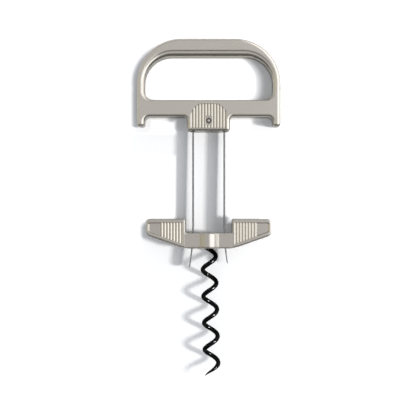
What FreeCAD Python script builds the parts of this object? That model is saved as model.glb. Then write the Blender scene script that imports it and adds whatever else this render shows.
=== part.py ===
import FreeCAD, Part
import math
import os
from FreeCAD import Vector

# Prong corkscrew, lying on its back. X runs across the tool, +Y from the worm's point towards the top
# of the D handle, and +Z up from the table. All sizes are in millimetres and angles in degrees.

# Both castings
casting_thickness = 11.0
rib_pitch = 1.70
rib_radius = 0.95
rib_crest_drop = 0.08
recess_depth = 0.70
recess_draft = 0.35
recess_corner_radius = 0.25

# The castings' rims are rounded in a few straight bands, and a corner never gets sharper than this radius
rim_bands = 3
sharp_radius = 0.05

# How far a cutting shape runs past the face that it opens, and how far one is sunk to share no face
overshoot = 1.0
sink = 0.01

# D handle
handle_width = 81.8
rail_width = 4.5
arch_height = 10.25
finger_opening_height = 24.55
bar_height = 9.8
foot_length = 5.5
outer_corner_radius = 25.5
inner_corner_radius = 15.5
opening_foot_radius = 5.0
bar_foot_radius = 2.7
handle_edge_radius = 1.6
handle_end_radius = 1.7

# Bevel round the finger opening: how far it reaches at the arch, the rails and the bar. Its profile goes
# from the face inwards as (depth, share of the reach): a short step, a gentle slope and a rounded inner edge.
bevel_at_arch = 3.55
bevel_at_rails = 1.75
bevel_at_bar = 0.6
bevel_profile = [(0.0, 1.0), (0.3, 0.88), (0.55, 0.48), (0.85, 0.28), (1.35, 0.12), (2.2, 0.0)]

# Ribbed tab under the bar
tab_width = 24.4
tab_length = 8.2
tab_root_radius = 1.9
tab_rib_count = 11
tab_field_height = 13.7
tab_field_rim = 2.0
tab_field_radius = 7.0
pin_flat_width = 3.7
pin_flat_height = 5.4
pin_flat_radius = 0.9

# Prongs, each a strip of spring steel with a hooked root
prong_spacing = 18.2
prong_thickness = 0.8
prong_width = 6.0
prong_section_radius = 16.0
prong_tip_thickness = 0.35
prong_tip_width = 2.2
prong_tip_radius = 1.0
prong_tip_length = 13.0
prong_shoulder_radius = 10.0
prong_corner_radius = 0.05
long_prong_reach = 77.5
short_prong_reach = 75.2
flare_length = 24.5
flare_radius = 140.0
flare_stations = 5
root_overlap = 0.5

# How the prongs are held in the tab
root_depth = 11.5
hook_length = 4.0
hook_bend_radius = 0.6
mouth_depth = 2.4
mouth_relief = 0.65
mouth_width = 8.6
hollow_clearance = 0.05
block_recess = 0.2
block_corner_radius = 0.15
pin_radius = 1.0
pin_height = 6.1
pin_ring_radius = 1.65
pin_ring_depth = 1.5
pin_end_drop = 0.1
pin_chamfer = 0.35
pin_fit = 0.02

# Worm handle
wing_clearance = 0.8
notch_clearance = 1.0
band_height = 8.85
band_step = 0.3
band_step_margin = 0.7
wing_rise = 8.0
wing_end_height = 9.35
wing_slope = 19.3
wing_tip_radius = 1.8
wing_heel_radius = 2.9
wing_blend_radius = 24.0
wing_edge_radius = 0.9
notch_edge_radius = 1.0
notch_floor_radius = 0.8
wing_rib_count = 7
wing_rim_top = 2.1
wing_rim_low = 2.3
wing_rim_end = 1.0
wing_rim_notch = 1.43
wing_end_draft = 0.9
wing_field_radius = 1.2
boss_radius = 7.4
boss_chamfer = 0.5
slot_clearance = 0.25
slot_side_clearance = 0.4
slot_corner_radius = 0.6

# Worm
worm_diameter = 10.2
wire_diameter = 2.6
worm_pitch = 15.25
worm_length = 72.8
worm_exit_turn = 0.55
worm_socket_turn = 0.08
worm_point_turns = 0.4
worm_point_radius = 0.18
worm_lean = 1.35
worm_rings_per_turn = 12
bend_rings = 4
socket_clearance = 0.3
socket_depth = 4.6
shank_bend_height = 4.1
shank_length = 3.2
shank_fit = 0.03
shank_play = 0.8
worm_pin_radius = 0.6
worm_pin_drop = 0.15
worm_pin_overshoot = 0.8

# Distance between the tab and the worm handle as the tool lies
drawn_out = 57.7

# Levels along Y, stacked down from the top of the arch
arch_top = 0.0
opening_top = arch_top - arch_height
opening_low = opening_top - finger_opening_height
bar_low = opening_low - bar_height
foot_low = bar_low - foot_length
tab_low = bar_low - tab_length
notch_floor = tab_low - drawn_out
band_low = notch_floor - band_height
wing_top = notch_floor + wing_rise
long_tip = tab_low - long_prong_reach
short_tip = tab_low - short_prong_reach

# Half sizes across and through the tool
half_handle = handle_width / 2
half_rail_gap = half_handle - rail_width
half_tab = tab_width / 2
half_notch = half_tab + notch_clearance
half_wings = half_rail_gap - wing_clearance
half_thickness = casting_thickness / 2
prong_x = prong_spacing / 2
pin_y = tab_low + pin_height


# Where corner number i of an outline is, and the directions back to the one before and ahead to the next
def corner_frame(corners, i, height=0.0):
    before, corner, after = [Vector(*corners[j % len(corners)][:2], height) for j in (i - 1, i, i + 1)]
    return corner, (before - corner).normalize(), (after - corner).normalize()


# A closed wire through corners (x, y, radius), each rounded by its own radius
def rounded_outline(corners, height=0.0):
    arcs = []
    for i, (x, y, radius) in enumerate(corners):
        corner, back, ahead = corner_frame(corners, i, height)
        half_angle = back.getAngle(ahead) / 2
        setback = radius / math.tan(half_angle)
        middle = (back + ahead).normalize() * (radius / math.sin(half_angle) - radius)
        arcs.append((corner + back * setback, corner + middle, corner + ahead * setback))
    edges = []
    for i, (start, middle, end) in enumerate(arcs):
        edges.append(Part.Arc(start, middle, end).toShape())
        edges.append(Part.makeLine(end, arcs[(i + 1) % len(arcs)][0]))
    return Part.Wire(edges)


# The outline moved inwards. It runs clockwise, so a corner that turns to the left is a hollow one.
def inset_corners(corners, inset):
    moved = []
    for i, (x, y, radius) in enumerate(corners):
        corner, back, ahead = corner_frame(corners, i)
        side = 1 if ahead.cross(back).z < 0 else -1
        shift = (back + ahead).normalize() * (side * inset / math.sin(back.getAngle(ahead) / 2))
        moved.append((x + shift.x, y + shift.y, max(sharp_radius, radius - side * inset)))
    return moved


# A flat plate of an outline, from one height to another
def plate(corners, low, high):
    return Part.Face(rounded_outline(corners, low)).extrude(Vector(0, 0, high - low))


# A casting's body: a plate whose rims are rounded, in bands between points on a quarter circle
def rounded_plate(corners, edge_radius):
    rim = []
    for i in range(rim_bands + 1):
        angle = math.radians(90) * i / rim_bands
        height = half_thickness - edge_radius * (1 - math.sin(angle))
        rim.append((edge_radius * (1 - math.cos(angle)), height))
    sections = [rounded_outline(inset_corners(corners, inset), -height) for inset, height in reversed(rim)]
    sections += [rounded_outline(inset_corners(corners, inset), height) for inset, height in rim]
    return Part.makeLoft(sections, True, True)


def mirrored_x(shape):
    return shape.mirror(Vector(0, 0, 0), Vector(1, 0, 0))


def mirrored_z(shape):
    return shape.mirror(Vector(0, 0, 0), Vector(0, 0, 1))


def box(x0, x1, y0, y1, z0, z1):
    return Part.makeBox(x1 - x0, y1 - y0, z1 - z0, Vector(x0, y0, z0))


# The space above a row of ribs, as a profile across X that runs along Y. The row starts and ends with
# half a rib, or runs out to a flat floor with a sloped end wall where floor_end is given.
def rib_space(first_x, rib_count, y_low, y_high, floor_end=None, end_draft=0.0):
    crest = half_thickness - rib_crest_drop
    centre = crest - rib_radius
    valley = centre + math.sqrt(rib_radius ** 2 - (rib_pitch / 2) ** 2)
    above = half_thickness + overshoot
    floor = half_thickness - recess_depth

    def on_rib(rib_x, dx):
        return Vector(rib_x + dx, y_low, centre + math.sqrt(rib_radius ** 2 - dx ** 2))

    half = rib_pitch / 2
    edges = [Part.Arc(on_rib(first_x, 0), on_rib(first_x, half / 2), on_rib(first_x, half)).toShape()]
    for i in range(1, rib_count + 1):
        x = first_x + i * rib_pitch
        right = half
        if floor_end is not None and i == rib_count:
            right = math.sqrt(rib_radius ** 2 - (floor - centre) ** 2)
        edges.append(Part.Arc(on_rib(x, -half), on_rib(x, (right - half) / 2), on_rib(x, right)).toShape())
    end = edges[-1].Vertexes[-1].Point
    if floor_end is None:
        x = first_x + (rib_count + 1) * rib_pitch
        edges.append(Part.Arc(on_rib(x, -half), on_rib(x, -half / 2), on_rib(x, 0)).toShape())
        outline = [Vector(x, y_low, crest), Vector(x, y_low, above)]
    else:
        rise = above - floor
        slope = end_draft / recess_depth
        outline = [end, Vector(floor_end - end_draft, y_low, floor),
                   Vector(floor_end - end_draft + rise * slope, y_low, above)]
    outline += [Vector(first_x, y_low, above), Vector(first_x, y_low, crest)]
    edges += [Part.makeLine(a, b) for a, b in zip(outline, outline[1:])]
    return Part.Face(Part.Wire(edges)).extrude(Vector(0, y_high - y_low, 0))


# A recess with drafted walls: its outline at the casting's face, and a smaller one at its floor
def drafted_recess(corners_at_inset):
    floor = half_thickness - recess_depth
    flare_out = overshoot * recess_draft / recess_depth
    sections = [rounded_outline(corners_at_inset(recess_draft), floor - sink),
                rounded_outline(corners_at_inset(0.0), half_thickness),
                rounded_outline(corners_at_inset(-flare_out), half_thickness + overshoot)]
    return Part.makeLoft(sections, True, True)


# The finger opening's outline, grown by a share of the bevel
def opening_corners(share):
    side = half_rail_gap + share * bevel_at_rails
    top = opening_top + share * bevel_at_arch
    low = opening_low - share * bevel_at_bar
    top_radius = inner_corner_radius + share * (bevel_at_arch + bevel_at_rails) / 2
    low_radius = opening_foot_radius + share * bevel_at_bar
    return [
        (-side, low, low_radius),
        (-side, top, top_radius),
        (side, top, top_radius),
        (side, low, low_radius),
    ]


def tab_field_corners(inset):
    side = rib_pitch * (tab_rib_count + 1) / 2
    low = tab_low + tab_field_rim + inset
    top = tab_low + tab_field_rim + tab_field_height - inset
    return [
        (-side, low, recess_corner_radius),
        (-side, top, tab_field_radius),
        (side, top, tab_field_radius),
        (side, low, recess_corner_radius),
    ]


def make_d_handle():
    outline = [
        (-half_handle, foot_low, handle_end_radius),
        (-half_handle, arch_top, outer_corner_radius),
        (half_handle, arch_top, outer_corner_radius),
        (half_handle, foot_low, handle_end_radius),
        (half_rail_gap, foot_low, handle_end_radius),
        (half_rail_gap, bar_low, bar_foot_radius),
        (half_tab, bar_low, tab_root_radius),
        (half_tab, tab_low, handle_end_radius),
        (-half_tab, tab_low, handle_end_radius),
        (-half_tab, bar_low, tab_root_radius),
        (-half_rail_gap, bar_low, bar_foot_radius),
        (-half_rail_gap, foot_low, handle_end_radius),
    ]
    body = rounded_plate(outline, handle_edge_radius)
    body = body.cut(plate(opening_corners(0.0), -half_thickness - overshoot, half_thickness + overshoot))
    sections = []
    for depth, share in bevel_profile:
        sections.append(rounded_outline(opening_corners(share), half_thickness - depth))
    bevel = Part.makeLoft(sections, True, True)
    body = body.cut(bevel).cut(mirrored_z(bevel))

    side = rib_pitch * (tab_rib_count + 1) / 2
    field_low = tab_low + tab_field_rim
    ribs = rib_space(-side, tab_rib_count, field_low - overshoot, field_low + tab_field_height + overshoot)
    field = ribs.common(drafted_recess(tab_field_corners))
    floor = half_thickness - recess_depth
    half_flat = pin_flat_width / 2
    flat_low = pin_y - pin_flat_height / 2
    pin_flat = plate([
        (-half_flat, flat_low, pin_flat_radius),
        (-half_flat, flat_low + pin_flat_height, pin_flat_radius),
        (half_flat, flat_low + pin_flat_height, pin_flat_radius),
        (half_flat, flat_low, pin_flat_radius),
    ], floor, half_thickness + overshoot)
    ring_floor = floor - pin_ring_depth
    pin_ring = Part.makeCylinder(pin_ring_radius, pin_ring_depth + overshoot, Vector(0, pin_y, ring_floor))
    for cutter in (field, pin_flat, pin_ring):
        body = body.cut(cutter).cut(mirrored_z(cutter))

    body = body.cut(prong_hollow())
    hole = Part.makeCylinder(pin_radius + pin_fit, casting_thickness, Vector(0, pin_y, -half_thickness))
    return body.cut(hole)


# The hollow in the tab that takes the block and both prong roots, with a wider mouth round each prong
def prong_hollow():
    half_prong = prong_thickness / 2
    side = prong_x + half_prong + hollow_clearance
    half_depth = prong_width / 2 + hollow_clearance
    roof = tab_low + root_depth + hollow_clearance
    main = box(-side, side, tab_low - overshoot, roof, -half_depth, half_depth)
    mouth_in = prong_x - half_prong - mouth_relief
    mouth_out = prong_x + half_prong + mouth_relief
    mouth_z = mouth_width / 2
    mouth = box(mouth_in, mouth_out, tab_low - overshoot, tab_low + mouth_depth, -mouth_z, mouth_z)
    return main.fuse(mouth).fuse(mirrored_x(mouth))


# One prong's crescent section across X and Z, bulging outwards, at a level along Y
def prong_section(y, x, thickness):
    half_width = prong_width / 2
    outer = prong_section_radius
    inner = prong_section_radius - thickness
    centre = x + thickness / 2 - outer

    def on_arc(radius, z):
        return Vector(centre + math.sqrt(radius ** 2 - z ** 2), y, z)

    return Part.Wire([
        Part.Arc(on_arc(outer, -half_width), on_arc(outer, 0), on_arc(outer, half_width)).toShape(),
        Part.makeLine(on_arc(outer, half_width), on_arc(inner, half_width)),
        Part.Arc(on_arc(inner, half_width), on_arc(inner, 0), on_arc(inner, -half_width)).toShape(),
        Part.makeLine(on_arc(inner, -half_width), on_arc(outer, -half_width)),
    ])


# How far a prong stands out at a distance below the start of its flare
def flare_offset(distance):
    return flare_radius - math.sqrt(flare_radius ** 2 - distance ** 2)


def make_prong(tip):
    flat_root = tab_low + mouth_depth
    flare_start = long_tip + flare_length
    straight = Part.Face(prong_section(flat_root, prong_x, prong_thickness)).extrude(
        Vector(0, flare_start - flat_root, 0))
    sections = []
    for i in range(flare_stations):
        share = i / (flare_stations - 1)
        distance = share * (flare_start - tip)
        thickness = prong_thickness + share ** 2 * (prong_tip_thickness - prong_thickness)
        sections.append(prong_section(flare_start - distance, prong_x + flare_offset(distance), thickness))
    flare = Part.makeLoft(sections, True, False)

    outside = prong_x + prong_thickness / 2
    inside = prong_x - prong_thickness / 2
    hook_top = tab_low + root_depth
    hook_low = hook_top - prong_thickness
    root = plate([
        (outside, flat_root - root_overlap, prong_corner_radius),
        (outside, hook_top, hook_bend_radius + prong_thickness),
        (outside - hook_length, hook_top, prong_corner_radius),
        (outside - hook_length, hook_low, prong_corner_radius),
        (inside, hook_low, hook_bend_radius),
        (inside, flat_root - root_overlap, prong_corner_radius),
    ], -prong_width / 2, prong_width / 2)

    half_width = prong_width / 2
    half_tip = prong_tip_width / 2
    side_view = Part.Face(rounded_outline([
        (-half_width, flat_root + overshoot, prong_corner_radius),
        (half_width, flat_root + overshoot, prong_corner_radius),
        (half_width, tip + prong_tip_length, prong_shoulder_radius),
        (half_tip, tip, prong_tip_radius),
        (-half_tip, tip, prong_tip_radius),
        (-half_width, tip + prong_tip_length, prong_shoulder_radius),
    ])).extrude(Vector(0, 0, prong_spacing))
    side_view.rotate(Vector(0, 0, 0), Vector(0, 1, 0), 90)
    return straight.fuse(flare).common(side_view).fuse(root).removeSplitter()


def make_prong_block():
    inside = prong_x - prong_thickness / 2 - hollow_clearance
    half_depth = prong_width / 2
    top = tab_low + root_depth - prong_thickness - hollow_clearance
    low = tab_low + block_recess
    shoulder = tab_low + mouth_depth
    corner = hook_bend_radius + hollow_clearance
    waist = inside - mouth_relief
    block = plate([
        (-waist, low, block_corner_radius),
        (-waist, shoulder, block_corner_radius),
        (-inside, shoulder, block_corner_radius),
        (-inside, top, corner),
        (inside, top, corner),
        (inside, shoulder, block_corner_radius),
        (waist, shoulder, block_corner_radius),
        (waist, low, block_corner_radius),
    ], -half_depth, half_depth)
    hole = Part.makeCylinder(pin_radius + pin_fit, casting_thickness, Vector(0, pin_y, -half_thickness))
    return block.cut(hole)


def make_prong_pin():
    end = half_thickness - recess_depth - pin_end_drop
    pin = Part.makeCylinder(pin_radius, 2 * end, Vector(0, pin_y, -end))
    return pin.makeChamfer(pin_chamfer, [edge for edge in pin.Edges if edge.Closed])


# Height of the wings' sloping underside at a distance from the middle
def underside(x):
    return notch_floor + wing_rise - wing_end_height - (half_wings - x) * math.tan(math.radians(wing_slope))


def wing_field_corners(inset):
    inner = half_notch + wing_rim_notch
    outer = half_wings - wing_rim_end - inset
    top = wing_top - wing_rim_top - inset
    rim = (wing_rim_low + inset) / math.cos(math.radians(wing_slope))
    return [
        (inner, underside(inner) + rim, recess_corner_radius),
        (inner, top, recess_corner_radius),
        (outer, top, wing_field_radius),
        (outer, underside(outer) + rim, wing_heel_radius - wing_rim_end),
    ]


def make_worm_handle():
    knee = half_wings - (underside(half_wings) - band_low) / math.tan(math.radians(wing_slope))
    right = [
        (half_notch, notch_floor, notch_floor_radius),
        (half_notch, wing_top, notch_edge_radius),
        (half_wings, wing_top, wing_tip_radius),
        (half_wings, underside(half_wings), wing_heel_radius),
        (knee, band_low, wing_blend_radius),
    ]
    left = [(-x, y, radius) for x, y, radius in reversed(right)]
    body = rounded_plate(right + left, wing_edge_radius)

    band_face = half_thickness - band_step
    step_x = half_notch + band_step_margin
    step = box(-step_x, step_x, band_low - overshoot, notch_floor, band_face, half_thickness + overshoot)

    inner = half_notch + wing_rim_notch
    ribs = rib_space(inner, wing_rib_count, band_low, wing_top, half_wings - wing_rim_end, wing_end_draft)
    field = ribs.common(drafted_recess(wing_field_corners))
    for cutter in (step, field, mirrored_x(field)):
        body = body.cut(cutter).cut(mirrored_z(cutter))

    boss = Part.makeCylinder(boss_radius, band_height, Vector(0, band_low, 0), Vector(0, 1, 0))
    boss = boss.makeChamfer(boss_chamfer, [edge for edge in boss.Edges if edge.Closed])
    body = body.fuse(boss)

    bulge = prong_section_radius - math.sqrt(prong_section_radius ** 2 - (prong_width / 2) ** 2)
    slot_in = prong_x - prong_thickness / 2 - bulge - slot_clearance
    slot_out = prong_x + prong_thickness / 2 + flare_offset(flare_length) + slot_clearance
    slot_z = prong_width / 2 + slot_side_clearance
    slot = box(slot_in, slot_out, band_low - overshoot, notch_floor + overshoot, -slot_z, slot_z)
    long_edges = [edge for edge in slot.Edges if edge.BoundBox.YLength > band_height]
    slot = slot.makeFillet(slot_corner_radius, long_edges)
    body = body.cut(slot).cut(mirrored_x(slot))

    socket_radius = worm_diameter / 2 + socket_clearance
    mouth = Vector(0, band_low - overshoot, 0)
    socket = Part.makeCylinder(socket_radius, socket_depth + overshoot, mouth, Vector(0, 1, 0))
    bore_radius = wire_diameter / 2 + shank_fit
    bore_depth = shank_length + shank_play
    bore = Part.makeCylinder(bore_radius, bore_depth, Vector(0, shank_low(), 0), Vector(0, 1, 0))
    body = body.cut(socket).cut(leaned(bore))
    return body.cut(worm_pin_cylinder(worm_pin_radius + pin_fit, boss_radius + overshoot))


# The shank's lower end, and the cross pin's level, which is half way up the shank
def shank_low():
    return band_low + shank_bend_height


def worm_pin_y():
    return shank_low() + shank_length / 2


# The worm leans a little to one side, turned about its cross pin
def leaned(shape):
    turned = shape.copy()
    turned.rotate(Vector(0, worm_pin_y(), 0), Vector(0, 0, 1), worm_lean)
    return turned


def worm_pin_cylinder(radius, back):
    front = wire_diameter / 2 + worm_pin_overshoot
    return Part.makeCylinder(radius, back + front, Vector(0, worm_pin_y(), -back))


# The worm's centre line is a right-handed helix about Y, which runs on a little way into the socket.
# A turn of 0 is at the front.
def helix_point(turn):
    radius = (worm_diameter - wire_diameter) / 2
    angle = 2 * math.pi * turn
    return Vector(radius * math.sin(angle), band_low + worm_pitch * (turn - worm_exit_turn),
                  radius * math.cos(angle))


def helix_direction(turn):
    radius = (worm_diameter - wire_diameter) / 2
    angle = 2 * math.pi * turn
    return Vector(radius * math.cos(angle), worm_pitch / (2 * math.pi), -radius * math.sin(angle)).normalize()


# Two tangent arcs from one point and direction to another
def biarc(start, start_direction, end, end_direction):
    across = end - start
    both = start_direction + end_direction
    a = 2 * (1 - start_direction.dot(end_direction))
    b = 2 * across.dot(both)
    c = -across.dot(across)
    reach = (-b + math.sqrt(b * b - 4 * a * c)) / (2 * a)
    knee_1 = start + start_direction * reach
    knee_2 = end - end_direction * reach
    joint = (knee_1 + knee_2) * 0.5
    edges = []
    for first, knee, last in ((start, knee_1, joint), (joint, knee_2, end)):
        chord_middle = (first + last) * 0.5
        half_chord = (last - first).Length / 2
        rise = (knee - chord_middle).Length
        leg = math.hypot(rise, half_chord)
        sagitta = half_chord * (leg - half_chord) / rise
        top = chord_middle + (knee - chord_middle).normalize() * sagitta
        edges.append(Part.Arc(first, top, last).toShape())
    return edges


# Rings along a path of stations (point, direction, radius), each turned as little as may be from the last
def rings_along(stations):
    rings = []
    across = Vector(0, 0, 1)
    for point, direction, radius in stations:
        across = (across - direction * across.dot(direction)).normalize()
        placement = FreeCAD.Placement(point, FreeCAD.Rotation(across, Vector(0, 0, 0), direction, "ZXY"))
        ring = Part.makeCircle(radius)
        ring.Placement = placement
        rings.append(Part.Wire([ring]))
    return rings


def wire_radius_at(turn, tip_turn):
    share = min(1.0, (turn - tip_turn) / worm_point_turns)
    return worm_point_radius + share * (wire_diameter / 2 - worm_point_radius)


def make_worm():
    tip_turn = worm_exit_turn - worm_length / worm_pitch
    top_turn = worm_exit_turn + worm_socket_turn
    steps = math.ceil((top_turn - tip_turn) * worm_rings_per_turn)
    stations = []
    for i in range(steps + 1):
        turn = tip_turn + (top_turn - tip_turn) * i / steps
        stations.append((helix_point(turn), helix_direction(turn), wire_radius_at(turn, tip_turn)))

    shank_start = Vector(0, shank_low(), 0)
    up = Vector(0, 1, 0)
    for edge in biarc(helix_point(top_turn), helix_direction(top_turn), shank_start, up):
        for i in range(1, bend_rings + 1):
            parameter = edge.FirstParameter + (edge.LastParameter - edge.FirstParameter) * i / bend_rings
            stations.append((edge.valueAt(parameter), edge.tangentAt(parameter), wire_diameter / 2))
    stations.append((shank_start + up * shank_length, up, wire_diameter / 2))

    worm = Part.makeLoft(rings_along(stations), True, True)
    return leaned(worm).cut(worm_pin_cylinder(worm_pin_radius + pin_fit, boss_radius + overshoot))


def make_worm_pin():
    return worm_pin_cylinder(worm_pin_radius, boss_radius - worm_pin_drop)


def main():
    nodes = {
        "d_handle": make_d_handle(),
        "long_prong": mirrored_x(make_prong(long_tip)),
        "short_prong": make_prong(short_tip),
        "prong_block": make_prong_block(),
        "prong_pin": make_prong_pin(),
        "worm_handle": make_worm_handle(),
        "worm": make_worm(),
        "worm_pin": make_worm_pin(),
    }
    # The origin is on the table, under the middle of the tool, which rests on the back of its boss
    bounds = nodes["worm"].optimalBoundingBox(False, False)
    shift = Vector(0, -(arch_top + bounds.YMin) / 2, boss_radius)
    os.makedirs("parts", exist_ok=True)
    for name, shape in nodes.items():
        shape.translate(shift)
        solids = shape.Solids
        if len(solids) != 1 or not solids[0].isValid():
            raise ValueError(f"{name} has {len(solids)} solids")
        solids[0].exportStep(f"parts/{name}.step")
        extent = solids[0].BoundBox
        print(f"{name}: {solids[0].Volume:.1f} mm3, Y {extent.YMin:.2f} to {extent.YMax:.2f},"
              f" Z {extent.ZMin:.2f} to {extent.ZMax:.2f}")


main()
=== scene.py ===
import bpy
import math
import numpy as np
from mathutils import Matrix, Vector


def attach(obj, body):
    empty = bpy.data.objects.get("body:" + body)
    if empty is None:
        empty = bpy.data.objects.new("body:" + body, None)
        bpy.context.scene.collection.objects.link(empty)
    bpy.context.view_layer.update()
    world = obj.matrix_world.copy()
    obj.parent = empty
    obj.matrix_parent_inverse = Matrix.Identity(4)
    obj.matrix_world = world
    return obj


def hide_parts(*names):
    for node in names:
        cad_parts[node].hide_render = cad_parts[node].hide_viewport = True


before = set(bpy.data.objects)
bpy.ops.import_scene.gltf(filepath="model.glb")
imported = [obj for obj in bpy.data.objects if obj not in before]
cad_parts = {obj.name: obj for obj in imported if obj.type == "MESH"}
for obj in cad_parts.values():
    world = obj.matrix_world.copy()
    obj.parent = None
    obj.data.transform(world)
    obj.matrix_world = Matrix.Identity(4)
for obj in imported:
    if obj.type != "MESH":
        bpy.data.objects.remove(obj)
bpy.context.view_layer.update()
print("frame loaded:", len(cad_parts), "nodes")

# Lengths are metres. X runs across the tool, +Y towards the top of the D handle, +Z up from the table.
mm = 0.001
axisHeight = 7.4 * mm  # of the worm and the middle of the prongs, above the table


# Small helpers for shader trees

def addNode(tree, kind, **settings):
    node = tree.nodes.new(kind)
    for name, value in settings.items():
        setattr(node, name, value)
    return node


def setInputs(node, **values):
    for name, value in values.items():
        node.inputs[name.replace("_", " ")].default_value = value
    return node


# A plain value is set on the socket, and another node's output is linked to it
def feed(tree, socket, value):
    if isinstance(value, (int, float, tuple)):
        socket.default_value = value
    else:
        tree.links.new(value, socket)


def joinMath(tree, operation, *values, clamp=False):
    node = addNode(tree, "ShaderNodeMath", operation=operation, use_clamp=clamp)
    for socket, value in zip(node.inputs, values):
        feed(tree, socket, value)
    return node.outputs[0]


def mapRange(tree, value, low, high, toLow=0.0, toHigh=1.0, smooth=True):
    node = addNode(tree, "ShaderNodeMapRange", interpolation_type="SMOOTHSTEP" if smooth else "LINEAR")
    setInputs(node, From_Min=low, From_Max=high, To_Min=toLow, To_Max=toHigh)
    tree.links.new(value, node.inputs["Value"])
    return node.outputs["Result"]


# The Mix node's colours are its inputs 6 and 7 and its output 2
def mixColour(tree, factor, first, second, blend="MIX"):
    node = addNode(tree, "ShaderNodeMix", data_type="RGBA", blend_type=blend)
    for index, value in ((0, factor), (6, first), (7, second)):
        feed(tree, node.inputs[index], value)
    return node.outputs[2]


# Lays a second colour over the first where the mask is 1, as strongly as its share says
def layOver(tree, colour, cover, mask, share):
    return mixColour(tree, joinMath(tree, "MULTIPLY", mask, share), colour, cover)


def addNoise(tree, place, frequency, detail, roughness):
    noise = setInputs(addNode(tree, "ShaderNodeTexNoise"), Detail=detail, Roughness=roughness)
    tree.links.new(place, noise.inputs["Vector"])
    tree.links.new(frequency, noise.inputs["Scale"])
    return noise.outputs["Fac"]


def objectPlace(tree):
    return addNode(tree, "ShaderNodeTexCoord").outputs["Object"]


def surfaceNormal(tree):
    return addNode(tree, "ShaderNodeNewGeometry").outputs["Normal"]


def splitAxes(tree, vector):
    parts = addNode(tree, "ShaderNodeSeparateXYZ")
    tree.links.new(vector, parts.inputs[0])
    return parts.outputs


def newGroup(name, inputs, outputs):
    tree = bpy.data.node_groups.new(name, "ShaderNodeTree")
    for direction, labels in (("INPUT", inputs), ("OUTPUT", outputs)):
        for label in labels:
            kind = "NodeSocketVector" if label in ("Stretch", "Normal") else "NodeSocketFloat"
            tree.interface.new_socket(label, in_out=direction, socket_type=kind)
    return tree, tree.nodes.new("NodeGroupInput").outputs, tree.nodes.new("NodeGroupOutput").inputs


def useGroup(tree, group, **values):
    return setInputs(addNode(tree, "ShaderNodeGroup", node_tree=group), **values)


# Grain: brush strokes or blasted grain, as noise on Object coordinates that is stretched per axis. Height is
# that noise, Tone the same with more contrast, and Cloud a coarse one that changes over whole faces.
grainForm = dict(detail=3.0, roughness=0.6, cloudDetail=2.0, cloudRoughness=0.5, contrast=(0.3, 0.7))


def makeGrainGroup(form):
    tree, given, out = newGroup("grain", ["Stretch", "Frequency", "Cloud Frequency"],
                                ["Height", "Tone", "Cloud"])
    place = objectPlace(tree)
    stretched = addNode(tree, "ShaderNodeVectorMath", operation="MULTIPLY")
    tree.links.new(place, stretched.inputs[0])
    tree.links.new(given["Stretch"], stretched.inputs[1])
    fine = addNoise(tree, stretched.outputs[0], given["Frequency"], form["detail"], form["roughness"])
    cloud = addNoise(tree, place, given["Cloud Frequency"], form["cloudDetail"], form["cloudRoughness"])
    tree.links.new(fine, out["Height"])
    tree.links.new(mapRange(tree, fine, *form["contrast"]), out["Tone"])
    tree.links.new(mapRange(tree, cloud, *form["contrast"]), out["Cloud"])
    return tree


# Edge: how far the surface normal turns within a short reach, by the cosine between the two, so it is 1 on
# worn edges and 0 on flats, broken up by noise. Normal is the surface's own, rounded over that reach.
edgeForm = dict(samples=6, flatCosine=0.995, wornCosine=0.90, detail=2.0, roughness=0.5,
                breakupRange=(0.35, 0.6), leastShare=0.55)


def makeEdgeGroup(form):
    tree, given, out = newGroup("edgeWear", ["Reach", "Breakup"], ["Edge", "Normal"])
    bevel = addNode(tree, "ShaderNodeBevel", samples=form["samples"])
    tree.links.new(given["Reach"], bevel.inputs["Radius"])
    cosine = addNode(tree, "ShaderNodeVectorMath", operation="DOT_PRODUCT")
    tree.links.new(bevel.outputs["Normal"], cosine.inputs[0])
    tree.links.new(surfaceNormal(tree), cosine.inputs[1])
    turned = mapRange(tree, cosine.outputs["Value"], form["flatCosine"], form["wornCosine"])
    broken = addNoise(tree, objectPlace(tree), given["Breakup"], form["detail"], form["roughness"])
    share = mapRange(tree, broken, *form["breakupRange"], form["leastShare"], 1.0)
    tree.links.new(joinMath(tree, "MULTIPLY", turned, share), out["Edge"])
    tree.links.new(bevel.outputs["Normal"], out["Normal"])
    return tree


# Painted shade: 1 in the narrow grooves and corners that ambient occlusion finds closed in, 0 in the open
grimeForm = dict(samples=8, openShade=0.75, closedShade=0.15)


def makeGrimeGroup(form):
    tree, given, out = newGroup("grime", ["Reach"], ["Grime"])
    shade = addNode(tree, "ShaderNodeAmbientOcclusion", samples=form["samples"], only_local=True)
    tree.links.new(given["Reach"], shade.inputs["Distance"])
    tree.links.new(mapRange(tree, shade.outputs["AO"], form["openShade"], form["closedShade"]), out["Grime"])
    return tree


# Regions are bounded by lines, mirrored about the tool's middle, each given as nx |x| + ny y = offset with
# its normal (nx, ny) pointing outwards. Edges stay crisp round the ribs and at the low step at the band's
# ends. The ribs' own fields lie a little inside. There the colour is brightened as a painted highlight on the
# wings and darkened as painted shade on the tab. Two lines follow the slope of the wings' underside.
wingSlope = (0.3305, -0.9438)
ribRegions = dict(
    handleRim=dict(fade=0.4 * mm, regions=[
        [(1, 0, 10.9 * mm), (0, 1, 60 * mm), (0, -1, -44.8 * mm)]]),
    wingRim=dict(fade=0.4 * mm, regions=[
        [(-1, 0, -13.9 * mm), (1, 0, 35.1 * mm), (0, 1, -7.3 * mm), (*wingSlope, 25.0 * mm)],
        [(-1, 0, -12.0 * mm), (1, 0, 15.4 * mm), (0, 1, -15.2 * mm), (0, -1, 22.3 * mm)]]),
    handleField=dict(fade=0.2 * mm, regions=[
        [(1, 0, 10.2 * mm), (0, 1, 59.1 * mm), (0, -1, -45.4 * mm), (0.7071, 0.7071, 46.1 * mm)]]),
    wingField=dict(fade=0.2 * mm, regions=[
        [(-1, 0, -14.7 * mm), (1, 0, 27.5 * mm), (0, 1, -8.4 * mm), (*wingSlope, 24.2 * mm)]]))


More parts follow.
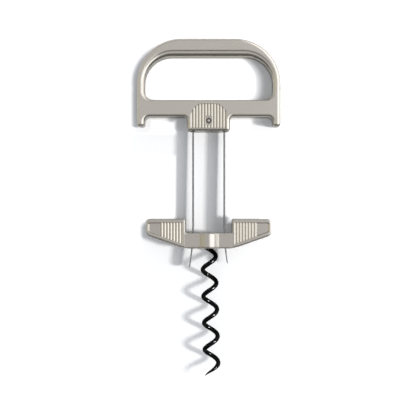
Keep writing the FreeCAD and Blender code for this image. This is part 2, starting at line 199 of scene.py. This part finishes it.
# Rim: 0 inside the regions and 1 outside them. The distance outside a region is the greatest over its lines,
# and the least over the regions counts. Both start from 1 m, far beyond the tool.
def makeRimGroup(name, regions, fade):
    tree, _, out = newGroup(name, [], ["Rim"])
    place = splitAxes(tree, objectPlace(tree))
    across = joinMath(tree, "ABSOLUTE", place["X"])
    nearest = 1.0
    for lines in regions:
        outside = -1.0
        for nx, ny, offset in lines:
            along = joinMath(tree, "MULTIPLY_ADD", place["Y"], ny, -offset)
            outside = joinMath(tree, "MAXIMUM", joinMath(tree, "MULTIPLY_ADD", across, nx, along), outside)
        nearest = joinMath(tree, "MINIMUM", outside, nearest)
    tree.links.new(mapRange(tree, nearest, 0.0, fade), out["Rim"])
    return tree


# Wall: 1 on walls that stand upright and 0 on faces, by how far the surface normal points up or down. It
# places painted shade on the walls.
wallForm = dict(leaning=0.6, upright=0.2)


def makeWallGroup(form):
    tree, _, out = newGroup("wall", [], ["Wall"])
    upOrDown = joinMath(tree, "ABSOLUTE", splitAxes(tree, surfaceNormal(tree))["Z"])
    tree.links.new(mapRange(tree, upOrDown, form["leaning"], form["upright"]), out["Wall"])
    return tree


# Pit: 1 within a radius of an upright axis, fading out to that radius times spread, for painted shade in the
# pin's ring
pinRing = dict(x=0.0, y=49.484 * mm, radius=1.66 * mm, spread=1.06)


def makePitGroup(form):
    tree, _, out = newGroup("pinPit", [], ["Pit"])
    place = splitAxes(tree, objectPlace(tree))
    offsetX = joinMath(tree, "SUBTRACT", place["X"], form["x"])
    offsetY = joinMath(tree, "SUBTRACT", place["Y"], form["y"])
    square = joinMath(tree, "MULTIPLY_ADD", offsetX, offsetX, joinMath(tree, "MULTIPLY", offsetY, offsetY))
    outer, inner = (form["radius"] * form["spread"]) ** 2, form["radius"] ** 2
    tree.links.new(mapRange(tree, square, outer, inner), out["Pit"])
    return tree


grainGroup = makeGrainGroup(grainForm)
edgeGroup = makeEdgeGroup(edgeForm)
grimeGroup = makeGrimeGroup(grimeForm)
rimGroups = {name: makeRimGroup(name, **form) for name, form in ribRegions.items()}
wallGroup = makeWallGroup(wallForm)
pitGroup = makePitGroup(pinRing)


def newMaterial(name):
    material = bpy.data.materials.new(name)
    material.use_nodes = True
    tree = material.node_tree
    tree.nodes.clear()
    shader = addNode(tree, "ShaderNodeBsdfPrincipled")
    surface = addNode(tree, "ShaderNodeOutputMaterial")
    tree.links.new(shader.outputs["BSDF"], surface.inputs["Surface"])
    return material, tree, shader


# Each layer is (height, strength, distance), and is laid over the normal that the one before gives
def addBump(tree, shader, layers, normal=None):
    for height, strength, distance in layers:
        bump = setInputs(addNode(tree, "ShaderNodeBump"), Strength=strength, Distance=distance)
        tree.links.new(height, bump.inputs["Height"])
        if normal is not None:
            tree.links.new(normal, bump.inputs["Normal"])
        normal = bump.outputs["Normal"]
    tree.links.new(normal, shader.inputs["Normal"])


# A ribbed casting rounds its edges further where they lie away from the ribs. Its rib field's colour is
# scaled by a factor of its own, above 1 as a painted highlight and below 1 as painted shade. Its upright
# walls and the pin's ring get painted shade.
def finishCasting(tree, look, colour, edge):
    rim = useGroup(tree, rimGroups[look["rim"]])
    reach = mapRange(tree, rim.outputs["Rim"], 0.0, 1.0, look["edgeReach"], look["rimReach"], smooth=False)
    tree.links.new(reach, edge.inputs["Reach"])
    # painted highlight and shade: the rib field's colour is scaled by the rib factor
    field = useGroup(tree, rimGroups[look["field"]])
    shade = mapRange(tree, field.outputs["Rim"], 0.0, 1.0, look["ribPaintedLight"], 1.0, smooth=False)
    colour = mixColour(tree, 1.0, colour, shade, blend="MULTIPLY")
    # painted shade on the upright walls
    wall = useGroup(tree, wallGroup)
    colour = layOver(tree, colour, look["wallPaintedShade"], wall.outputs["Wall"], look["wallPaintedShadeShare"])
    # painted shade in the pin's ring
    pit = useGroup(tree, pitGroup)
    return layOver(tree, colour, look["grimeColour"], pit.outputs["Pit"], look["pinRingShadeShare"])


# Metals: a satin metal with grain, cloudy tone, edges rubbed brighter and smoother, and painted shade in
# narrow grooves and corners
def satinMetal(name, look):
    material, tree, shader = newMaterial(name)
    shader.inputs["Metallic"].default_value = 1.0
    shader.inputs["Specular Tint"].default_value = look["grazingTint"]
    grain = useGroup(tree, grainGroup, Stretch=look["stretch"], Frequency=look["grainFrequency"],
                     Cloud_Frequency=look["cloudFrequency"])
    edge = useGroup(tree, edgeGroup, Reach=look["edgeReach"], Breakup=look["edgeBreakup"])
    grime = useGroup(tree, grimeGroup, Reach=look["grimeReach"])
    colour = mixColour(tree, grain.outputs["Tone"], look["darkColour"], look["colour"])
    colour = layOver(tree, colour, look["cloudColour"], grain.outputs["Cloud"], look["cloudShare"])
    colour = layOver(tree, colour, look["edgeColour"], edge.outputs["Edge"], look["edgeShare"])
    # painted shade: the colour goes towards the dark shade colour in grooves and corners, by ambient
    # occlusion
    colour = layOver(tree, colour, look["grimeColour"], grime.outputs["Grime"], look["grimeShare"])
    if "rim" in look:
        colour = finishCasting(tree, look, colour, edge)
    tree.links.new(colour, shader.inputs["Base Color"])
    middle, spread = look["roughness"], look["roughnessSpread"]
    tone = grain.outputs["Tone"]
    roughness = mapRange(tree, tone, 0.0, 1.0, middle + spread, middle - spread, smooth=False)
    polish = joinMath(tree, "MULTIPLY", edge.outputs["Edge"], -look["edgePolish"])
    tree.links.new(joinMath(tree, "ADD", roughness, polish, clamp=True), shader.inputs["Roughness"])
    layers = [(grain.outputs["Height"], look["grainBump"], look["grainDepth"]),
              (grain.outputs["Cloud"], look["waveBump"], look["waveDepth"])]
    addBump(tree, shader, layers, edge.outputs["Normal"])
    return material


# Frequencies are in noise cells to the metre. A stretch below 1 draws the grain out along that axis.
# Besides its own colours, each metal has a dark shade colour that paints shade into grooves and corners. On
# the castings it also paints shade on upright walls and in the pin's ring.
nickel = dict(
    colour=(0.632, 0.597, 0.537, 1), darkColour=(0.603, 0.568, 0.509, 1),
    cloudColour=(0.600, 0.563, 0.498, 1), edgeColour=(0.78, 0.75, 0.70, 1),
    grimeColour=(0.20, 0.18, 0.15, 1), wallPaintedShade=(0.27, 0.255, 0.235, 1),
    cloudShare=0.6, edgeShare=0.5, grimeShare=0.7, wallPaintedShadeShare=0.75, pinRingShadeShare=0.9, ribPaintedLight=0.94,
    stretch=(0.25, 1.0, 1.0), grainFrequency=2600.0, cloudFrequency=60.0, edgeBreakup=1400.0,
    edgeReach=0.2 * mm, rimReach=1.0 * mm, grimeReach=0.9 * mm, rim="handleRim", field="handleField",
    roughness=0.17, roughnessSpread=0.03, edgePolish=0.06, grazingTint=(0.66, 0.65, 0.63, 1),
    grainBump=0.02, grainDepth=0.03 * mm, waveBump=0.03, waveDepth=0.3 * mm)

# The worm handle is the same metal, brushed across the tool and a little darker. Its rib factor above 1
# brightens the wings' ribs as a painted highlight.
brushedNickel = dict(
    nickel, colour=(0.560, 0.528, 0.478, 1), darkColour=(0.505, 0.475, 0.428, 1),
    cloudColour=(0.535, 0.502, 0.447, 1), edgeColour=(0.70, 0.67, 0.62, 1), ribPaintedLight=1.16,
    stretch=(0.05, 1.0, 1.0), grainFrequency=6000.0, rimReach=1.5 * mm, rim="wingRim", field="wingField",
    roughness=0.19)

# The prongs, the block and the pins take the same painted shade in their grooves and corners.
springSteel = dict(
    colour=(0.28, 0.28, 0.28, 1), darkColour=(0.20, 0.20, 0.20, 1), cloudColour=(0.24, 0.24, 0.24, 1),
    edgeColour=(0.36, 0.36, 0.36, 1), grimeColour=(0.10, 0.10, 0.10, 1),
    cloudShare=0.5, edgeShare=0.5, grimeShare=0.6,
    stretch=(1.0, 0.06, 1.0), grainFrequency=5200.0, cloudFrequency=90.0, edgeBreakup=1400.0,
    edgeReach=0.2 * mm, grimeReach=0.8 * mm,
    roughness=0.30, roughnessSpread=0.07, edgePolish=0.06, grazingTint=(1.0, 1.0, 1.0, 1),
    grainBump=0.2, grainDepth=0.03 * mm, waveBump=0.05, waveDepth=0.2 * mm)

blockZinc = dict(
    colour=(0.46, 0.45, 0.43, 1), darkColour=(0.36, 0.35, 0.34, 1), cloudColour=(0.40, 0.39, 0.38, 1),
    edgeColour=(0.55, 0.54, 0.52, 1), grimeColour=(0.12, 0.11, 0.10, 1),
    cloudShare=0.6, edgeShare=0.4, grimeShare=0.8,
    stretch=(1.0, 1.0, 1.0), grainFrequency=2200.0, cloudFrequency=160.0, edgeBreakup=1400.0,
    edgeReach=0.3 * mm, grimeReach=1.0 * mm,
    roughness=0.5, roughnessSpread=0.08, edgePolish=0.05, grazingTint=(1.0, 1.0, 1.0, 1),
    grainBump=0.35, grainDepth=0.06 * mm, waveBump=0.08, waveDepth=0.3 * mm)

pinSteel = dict(
    colour=(0.66, 0.65, 0.63, 1), darkColour=(0.55, 0.54, 0.52, 1), cloudColour=(0.60, 0.59, 0.57, 1),
    edgeColour=(0.80, 0.79, 0.77, 1), grimeColour=(0.10, 0.09, 0.08, 1),
    cloudShare=0.5, edgeShare=0.5, grimeShare=0.8,
    stretch=(1.0, 1.0, 1.0), grainFrequency=3200.0, cloudFrequency=700.0, edgeBreakup=2400.0,
    edgeReach=0.2 * mm, grimeReach=0.6 * mm,
    roughness=0.27, roughnessSpread=0.06, edgePolish=0.05, grazingTint=(1.0, 1.0, 1.0, 1),
    grainBump=0.3, grainDepth=0.04 * mm, waveBump=0.1, waveDepth=0.1 * mm)


# Worm coat: a black non-stick coat with a faint orange peel, a little greyer in coarse patches,
# and less glossy where it is seen edge on
wormCoat = dict(
    colour=(0.002, 0.002, 0.002, 1), crestColour=(0.004, 0.004, 0.004, 1), gloss=0.09, rimGloss=0.01,
    rimRange=(0.20, 0.45), roughness=0.13, roughnessSpread=0.05, stretch=(1.0, 1.0, 1.0),
    peelFrequency=1500.0, cloudFrequency=300.0, peelBump=0.18, peelDepth=0.08 * mm)


def coatedWire(name, look):
    material, tree, shader = newMaterial(name)
    facing = addNode(tree, "ShaderNodeLayerWeight").outputs["Facing"]
    gloss = mapRange(tree, facing, *look["rimRange"], look["gloss"], look["rimGloss"])
    tree.links.new(gloss, shader.inputs["Specular IOR Level"])
    grain = useGroup(tree, grainGroup, Stretch=look["stretch"], Frequency=look["peelFrequency"],
                     Cloud_Frequency=look["cloudFrequency"])
    cloud = grain.outputs["Cloud"]
    tree.links.new(mixColour(tree, cloud, look["colour"], look["crestColour"]), shader.inputs["Base Color"])
    middle, spread = look["roughness"], look["roughnessSpread"]
    roughness = mapRange(tree, cloud, 0.0, 1.0, middle - spread, middle + spread, smooth=False)
    tree.links.new(roughness, shader.inputs["Roughness"])
    addBump(tree, shader, [(grain.outputs["Height"], look["peelBump"], look["peelDepth"])])
    return material


def wear(material, *nodeNames):
    for nodeName in nodeNames:
        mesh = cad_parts[nodeName].data
        mesh.materials.clear()
        mesh.materials.append(material)


wear(satinMetal("satinNickel", nickel), "d_handle")
wear(satinMetal("brushedNickel", brushedNickel), "worm_handle")
wear(satinMetal("bareZinc", blockZinc), "prong_block")
wear(satinMetal("pinSteel", pinSteel), "prong_pin", "worm_pin")
prongMetal = satinMetal("springSteel", springSteel)
coatMaterial = coatedWire("wormCoat", wormCoat)
print("materials made")


# Helpers for pieces

def unitRows(rows):
    return rows / np.linalg.norm(rows, axis=1, keepdims=True)


# A closed skin over rings of vertices (ring, place round it, XYZ), with a pole at each end
def skinMesh(name, rings, firstPole, lastPole):
    count, sides = rings.shape[:2]
    vertices = np.concatenate([rings.reshape(-1, 3), [firstPole, lastPole]])
    row, column = np.meshgrid(np.arange(count - 1), np.arange(sides), indexing="ij")
    here, beside = row * sides + column, row * sides + (column + 1) % sides
    quads = np.stack([here, beside, beside + sides, here + sides], axis=-1).reshape(-1, 4)
    around, first, last = np.arange(sides), count * sides, (count - 1) * sides
    firstFan = np.stack([np.full(sides, first), (around + 1) % sides, around], axis=-1)
    lastFan = np.stack([np.full(sides, first + 1), last + around, last + (around + 1) % sides], axis=-1)
    mesh = bpy.data.meshes.new(name)
    mesh.from_pydata(vertices.tolist(), [], quads.tolist() + firstFan.tolist() + lastFan.tolist())
    mesh.polygons.foreach_set("use_smooth", np.ones(len(mesh.polygons), dtype=bool))
    mesh.update()
    return mesh


def addPiece(name, mesh, material, node, body):
    piece = bpy.data.objects.new(name, mesh)
    bpy.context.scene.collection.objects.link(piece)
    piece.data.materials.append(material)
    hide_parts(node)
    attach(piece, body)
    return piece


# Worm: a round wire along a right-handed helix about the tool's axis, thinned to a point at its low end. In
# turns u from where it is highest, the wire's middle is at x = R sin(2 pi u), z = axisHeight + R cos(2 pi u)
# and y = exitLevel + pitch (u - exitTurn). It runs on into the socket for socketTurn past the exit, bends
# onto the axis in a cubic Bezier curve and goes up as the shank. All of it leans about the point
# (0, leanLevel). Each ring is point + r (side cos a + up sin a), with side = direction x Z and
# up = side x direction.
wormForm = dict(
    diameter=10.2 * mm, wire=2.6 * mm, pitch=15.25 * mm, length=72.8 * mm, exitTurn=0.55, socketTurn=0.08,
    exitLevel=-23.166 * mm, pointTurns=0.4, pointRadius=0.15 * mm, bendHeight=4.1 * mm, bendPull=1.7 * mm,
    shankLength=3.1 * mm, leanDegrees=1.35, leanLevel=-17.466 * mm, ringsPerTurn=56, bendRings=28,
    shankRings=2, sides=28)


def wormPath(form):
    radius = (form["diameter"] - form["wire"]) / 2
    tipTurn = form["exitTurn"] - form["length"] / form["pitch"]
    topTurn = form["exitTurn"] + form["socketTurn"]
    turn = np.linspace(tipTurn, topTurn, round((topTurn - tipTurn) * form["ringsPerTurn"]))
    angle = 2 * np.pi * turn
    rise = form["exitLevel"] + form["pitch"] * (turn - form["exitTurn"])
    helix = np.stack([radius * np.sin(angle), rise, axisHeight + radius * np.cos(angle)], axis=1)
    grown = np.minimum(1.0, (turn - tipTurn) / form["pointTurns"])
    thickness = form["pointRadius"] + (form["wire"] / 2 - form["pointRadius"]) * grown

    start, leaving = helix[-1], unitRows(helix[-1:] - helix[-2:-1])[0]
    end = np.array([0.0, form["exitLevel"] + form["bendHeight"], axisHeight])
    upwards = np.array([0.0, 1.0, 0.0])
    pulledStart, pulledEnd = start + leaving * form["bendPull"], end - upwards * form["bendPull"]
    s = np.linspace(0.0, 1.0, form["bendRings"] + 1)[1:, None]
    bend = ((1 - s) ** 3 * start + 3 * (1 - s) ** 2 * s * pulledStart + 3 * (1 - s) * s ** 2 * pulledEnd
            + s ** 3 * end)
    shank = end + upwards * np.linspace(0.0, form["shankLength"], form["shankRings"] + 1)[1:, None]
    path = np.concatenate([helix, bend, shank])
    radii = np.concatenate([thickness, np.full(len(bend) + len(shank), form["wire"] / 2)])

    lean = math.radians(form["leanDegrees"])
    x, y = path[:, 0].copy(), path[:, 1] - form["leanLevel"]
    path[:, 0] = x * math.cos(lean) - y * math.sin(lean)
    path[:, 1] = x * math.sin(lean) + y * math.cos(lean) + form["leanLevel"]
    return path, radii


def makeWorm(form):
    path, radii = wormPath(form)
    direction = unitRows(np.gradient(path, axis=0))
    side = unitRows(np.cross(direction, np.array([0.0, 0.0, 1.0])))
    up = np.cross(side, direction)
    a = np.linspace(0, 2 * np.pi, form["sides"], endpoint=False)
    ring = side[:, None] * np.cos(a)[None, :, None] + up[:, None] * np.sin(a)[None, :, None]
    rings = path[:, None] + radii[:, None, None] * ring
    mesh = skinMesh("wormWire", rings, path[0] - direction[0] * radii[0], path[-1])
    return addPiece("wormWire", mesh, coatMaterial, "worm", "worm_carrier")


wormWire = makeWorm(wormForm)
print("worm made")


# Prongs: strips that bulge outwards, carried along a centre line from the blunt tip up the flare, straight up
# into the tab and round a bend into the hook, which is flat. With v from -1 to 1 across the width, z = v w,
# and the strip steps inwards by R - sqrt(R^2 - z^2). At a distance d from the tip, while d < c, the blunt
# end's corners give w = W - c + sqrt(c^2 - (c - d)^2). At e below its start the flare stands out by
# F - sqrt(F^2 - e^2), and the strip thins with e^2.
prongForm = dict(
    spacing=18.2 * mm, thickness=0.8 * mm, tipThickness=0.35 * mm, width=6.0 * mm, bulgeRadius=16 * mm,
    cornerRadius=1.9 * mm, flareStart=-9.616 * mm, flareRadius=140 * mm, rootLevel=45.784 * mm,
    bendLevel=53.484 * mm, bendRadius=1.0 * mm, hookEnd=5.5 * mm, cornerRows=9, flareRows=20, bendRows=9,
    across=13, sharpDegrees=35)
prongTips = dict(long_prong=(-1, -34.116 * mm), short_prong=(1, -31.816 * mm))


# Centre line of the right-hand strip, as x and y at each row, with its half width and half thickness there
def prongRows(form, tip):
    corner, radius, bend = form["cornerRadius"], form["flareRadius"], form["bendRadius"]
    middle, bendLevel = form["spacing"] / 2, form["bendLevel"]
    turn = np.linspace(0, np.pi / 2, form["bendRows"])
    d = corner * (1 - np.cos(np.linspace(0, np.pi / 2, form["cornerRows"])))
    straight = np.concatenate([tip + d, np.linspace(tip + corner, form["flareStart"], form["flareRows"])[1:],
                               [form["rootLevel"], form["rootLevel"] + form["thickness"]]])
    flare = radius - np.sqrt(radius ** 2 - np.maximum(0, form["flareStart"] - straight) ** 2)
    x = np.concatenate([middle + flare, middle + bend * (np.cos(turn) - 1), [form["hookEnd"]]])
    y = np.concatenate([straight, bendLevel + bend * np.sin(turn), [bendLevel + bend]])
    notched = np.maximum(0, corner - (y - tip))
    halfWidth = form["width"] / 2 - corner + np.sqrt(corner ** 2 - notched ** 2)
    thinned = (np.maximum(0, form["flareStart"] - y) / (form["flareStart"] - tip)) ** 2
    halfThickness = (form["thickness"] + thinned * (form["tipThickness"] - form["thickness"])) / 2
    return x, y, halfWidth, halfThickness


# The side is -1 at the left and 1 at the right. It mirrors the strip and the order of its vertices, so that
# the normals point outwards on both.
def makeProng(node, form, side, tip):
    x, y, halfWidth, halfThickness = prongRows(form, tip)
    direction = unitRows(np.stack([np.gradient(x), np.gradient(y)], axis=1))
    v = side * np.linspace(-1, 1, form["across"])
    z = halfWidth[:, None] * v[None, :]
    bulging = (y <= form["rootLevel"])[:, None]
    inwards = (form["bulgeRadius"] - np.sqrt(form["bulgeRadius"] ** 2 - z ** 2)) * bulging
    faces = []
    for sign in (1, -1):
        offset = sign * halfThickness[:, None] - inwards
        across, along = x[:, None] + offset * direction[:, 1:], y[:, None] - offset * direction[:, :1]
        face = np.stack([side * across, along, axisHeight + z], axis=-1)
        faces.append(face[:, ::sign])
    rings = np.concatenate(faces, axis=1)
    mesh = skinMesh(node, rings, rings[0].mean(axis=0), rings[-1].mean(axis=0))
    mesh.set_sharp_from_angle(angle=math.radians(form["sharpDegrees"]))
    return addPiece(node + "_strip", mesh, prongMetal, node, "puller")


strips = [makeProng(nodeName, prongForm, side, tip) for nodeName, (side, tip) in prongTips.items()]
print("prongs made")


# Floor: a pale table that touches the boss and the D handle's back, as the tool rests. Contacts are (Y, Z).
# The camera and the metal see it a little brighter than it lights the object, and to the camera it glows to
# white outside rounded boxes round the tool, and inside one in the finger opening. The boxes leave room for
# the shadows of the worm's half at both ends of its travel. Each is (middle X, middle Y, half width, half
# height, corner radius), and a fade runs from one distance outside it to another.
floorLook = dict(
    size=3.0, bossContact=(-14.85 * mm, -0.02 * mm), handleContact=(94.6 * mm, 1.88 * mm), roughness=0.9,
    litColour=(0.80, 0.80, 0.80, 1), shownColour=(1.0, 1.0, 1.0, 1), shownGlow=0.07, farGlow=0.68,
    boxes=dict(arch=(-1.6 * mm, 72.2 * mm, 42.6 * mm, 22.3 * mm, 22 * mm),
               bar=(-1.6 * mm, 60 * mm, 42.6 * mm, 10.2 * mm, 3 * mm),
               leftFoot=(-38.5 * mm, 56 * mm, 5.7 * mm, 13.5 * mm, 3 * mm),
               rightFoot=(32.5 * mm, 56 * mm, 8.5 * mm, 13.5 * mm, 3 * mm),
               prongsAndWorm=(-4.1 * mm, -32 * mm, 15.4 * mm, 92 * mm, 4 * mm),
               wings=(-1.2 * mm, -29.1 * mm, 37.9 * mm, 21 * mm, 4 * mm),
               wingShadowAtUpperEnd=(-31 * mm, 36.5 * mm, 15 * mm, 7 * mm, 4 * mm)),
    boxFade=(-1.6 * mm, 1.9 * mm),
    opening=(-3.7 * mm, 70.5 * mm, 33.3 * mm, 16.5 * mm, 15 * mm), openingFade=(-6 * mm, 3 * mm))


def seenByEye(tree):
    path = addNode(tree, "ShaderNodeLightPath")
    return joinMath(tree, "MAXIMUM", path.outputs["Is Camera Ray"], path.outputs["Is Transmission Ray"])


def seenInMetal(tree):
    return addNode(tree, "ShaderNodeLightPath").outputs["Is Glossy Ray"]


# Distance outside a rounded box, as length(max(q, 0)) - radius with q = |place - middle| - half size + radius
def outsideBox(tree, place, box):
    middleX, middleY, halfWidth, halfHeight, radius = box
    squares = []
    for value, middle, half in ((place["X"], middleX, halfWidth), (place["Y"], middleY, halfHeight)):
        offset = joinMath(tree, "ABSOLUTE", joinMath(tree, "SUBTRACT", value, middle))
        reach = joinMath(tree, "MAXIMUM", joinMath(tree, "SUBTRACT", offset, half - radius), 0.0)
        squares.append(joinMath(tree, "MULTIPLY", reach, reach))
    return joinMath(tree, "SUBTRACT", joinMath(tree, "SQRT", joinMath(tree, "ADD", *squares)), radius)


# Share of the glow: 1 outside all boxes and inside the opening
def glowShare(tree, look):
    place = splitAxes(tree, objectPlace(tree))
    nearest, *others = [outsideBox(tree, place, box) for box in look["boxes"].values()]
    for distance in others:
        nearest = joinMath(tree, "MINIMUM", nearest, distance)
    inOpening = mapRange(tree, outsideBox(tree, place, look["opening"]), *look["openingFade"], 1.0, 0.0)
    return joinMath(tree, "MAXIMUM", mapRange(tree, nearest, *look["boxFade"]), inOpening)


def makeTableMaterial(look):
    material, tree, shader = newMaterial("paleTable")
    shader.inputs["Roughness"].default_value = look["roughness"]
    shader.inputs["Specular IOR Level"].default_value = 0.0
    shader.inputs["Emission Color"].default_value = look["shownColour"]
    eye = seenByEye(tree)
    seen = joinMath(tree, "MAXIMUM", eye, seenInMetal(tree))
    tree.links.new(mixColour(tree, seen, look["litColour"], look["shownColour"]), shader.inputs["Base Color"])
    whiter = joinMath(tree, "MULTIPLY", eye, glowShare(tree, look))
    whitened = joinMath(tree, "MULTIPLY", whiter, look["farGlow"])
    glow = joinMath(tree, "MULTIPLY_ADD", seen, look["shownGlow"], whitened)
    tree.links.new(glow, shader.inputs["Emission Strength"])
    return material


def makeFloor(look):
    half = look["size"] / 2
    (bossY, bossZ), (handleY, handleZ) = look["bossContact"], look["handleContact"]
    slope = (handleZ - bossZ) / (handleY - bossY)
    low, high = bossZ + slope * (-half - bossY), bossZ + slope * (half - bossY)
    corners = [(-half, -half, low), (half, -half, low), (half, half, high), (-half, half, high)]
    mesh = bpy.data.meshes.new("floor")
    mesh.from_pydata(corners, [], [(0, 1, 2, 3)])
    mesh.materials.append(makeTableMaterial(look))
    floor = bpy.data.objects.new("floor", mesh)
    bpy.context.scene.collection.objects.link(floor)


makeFloor(floorLook)

# Lamps: the key at the right casts the shadows, softer across the tool than along it. The wide lamp, which
# only the castings and prongs block, gives theirs a wide soft part. The metal doesn't mirror these two but
# the panel that the room shows around them. The glint lamp is only mirrored, and only in the worm's coat.
keyLamp = dict(towards=(1.05, -0.13, 1.0), distance=1.1, width=0.12, height=0.17, power=7.3,
               colour=(1.0, 0.99, 0.975), mirrored=False)
wideLamp = dict(keyLamp, towards=(0.75, -0.10, 1.0), height=0.50, power=2.3)
glintLamp = dict(keyLamp, towards=(1.0, -0.13, 1.0), width=0.16, height=0.45, power=92.0, mirrored=True)


def makeLamp(name, look):
    data = bpy.data.lights.new(name, "AREA")
    data.shape = "RECTANGLE"
    data.size = look["width"]
    data.size_y = look["height"]
    data.energy = look["power"]
    data.color = look["colour"]
    lamp = bpy.data.objects.new(name, data)
    bpy.context.scene.collection.objects.link(lamp)
    lamp.visible_glossy = look["mirrored"]
    towards = Vector(look["towards"]).normalized()
    lamp.location = towards * look["distance"]
    lamp.rotation_euler = towards.to_track_quat("Z", "Y").to_euler()
    return lamp


def collect(name, pieces):
    collection = bpy.data.collections.new(name)
    for piece in pieces:
        collection.objects.link(piece)
    return collection


makeLamp("key", keyLamp)
wide = makeLamp("wide", wideLamp)
castings = [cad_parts[nodeName] for nodeName in ("d_handle", "worm_handle")]
wide.light_linking.blocker_collection = collect("broad", castings + strips)
glint = makeLamp("glint", glintLamp)
glint.visible_diffuse = False
glint.light_linking.receiver_collection = collect("coated", [wormWire])

# Room, by the direction that a ray leaves in. Mirrored in the metal it is a studio: a bright panel from near
# the zenith down the right side, a bright strip at the right horizon, grey overhead and beyond, dull yellow
# low on the left and dark on the near side. To the camera it is white, and to the table a cool fill.
# Tilts are angles from the zenith in radians, across (+X) and along (+Y), where each part starts and is full.
room = dict(
    shown=(1.0, 1.0, 1.0, 1), fill=(0.42, 0.437, 0.466, 1), overhead=(0.72, 0.72, 0.73, 1), strength=1.0,
    leftSide=(0.72, 0.70, 0.57, 1), leftTilt=(-0.35, -0.9),
    beyond=(0.62, 0.62, 0.63, 1), beyondTilt=(0.3, 0.9),
    nearSide=(0.15, 0.15, 0.15, 1), nearTilt=(-0.15, -0.6),
    strip=(1.6, 1.6, 1.55, 1), stripTilt=(1.12, 1.18),
    panel=(2.0, 2.03, 2.1, 1), panelLeft=(0.13, 0.22), panelRight=(0.99, 0.90), panelFar=(1.0, 0.7),
    panelNear=(-0.45, -0.25))


def mirroredStudio(tree, look):
    direction = splitAxes(tree, addNode(tree, "ShaderNodeTexCoord").outputs["Generated"])
    across = joinMath(tree, "ARCTAN2", direction["X"], direction["Z"])
    along = joinMath(tree, "ARCTAN2", direction["Y"], direction["Z"])
    studio = mixColour(tree, mapRange(tree, across, *look["leftTilt"]), look["overhead"], look["leftSide"])
    studio = mixColour(tree, mapRange(tree, along, *look["beyondTilt"]), studio, look["beyond"])
    studio = mixColour(tree, mapRange(tree, across, *look["stripTilt"]), studio, look["strip"])
    studio = mixColour(tree, mapRange(tree, along, *look["nearTilt"]), studio, look["nearSide"])
    sides = joinMath(tree, "MULTIPLY", mapRange(tree, across, *look["panelLeft"]),
                     mapRange(tree, across, *look["panelRight"]))
    ends = joinMath(tree, "MULTIPLY", mapRange(tree, along, *look["panelFar"]),
                    mapRange(tree, along, *look["panelNear"]))
    return mixColour(tree, joinMath(tree, "MULTIPLY", sides, ends), studio, look["panel"])


def makeRoom(look):
    world = bpy.data.worlds.new("studio")
    bpy.context.scene.world = world
    world.use_nodes = True
    tree = world.node_tree
    tree.nodes.clear()
    lit = mixColour(tree, seenInMetal(tree), look["fill"], mirroredStudio(tree, look))
    background = setInputs(addNode(tree, "ShaderNodeBackground"), Strength=look["strength"])
    tree.links.new(mixColour(tree, seenByEye(tree), lit, look["shown"]), background.inputs["Color"])
    surface = addNode(tree, "ShaderNodeOutputWorld")
    tree.links.new(background.outputs[0], surface.inputs["Surface"])


makeRoom(room)

# Camera: straight above, with the photograph's scale at the castings' front faces
shot = dict(centre=(-0.4 * mm, -0.12 * mm), faceHeight=10.0 * mm, pixelSize=0.57 * mm, focalPixels=950.0,
            imagePixels=416, sensorWidth=36.0)


def makeCamera(look):
    data = bpy.data.cameras.new("shot")
    data.sensor_width = look["sensorWidth"]
    data.lens = look["sensorWidth"] * look["focalPixels"] / look["imagePixels"]
    camera = bpy.data.objects.new("shot", data)
    bpy.context.scene.collection.objects.link(camera)
    camera.location = (*look["centre"], look["faceHeight"] + look["pixelSize"] * look["focalPixels"])
    bpy.context.scene.camera = camera


makeCamera(shot)
bpy.context.scene.view_settings.view_transform = "Standard"
print("stage, lamps and camera made")
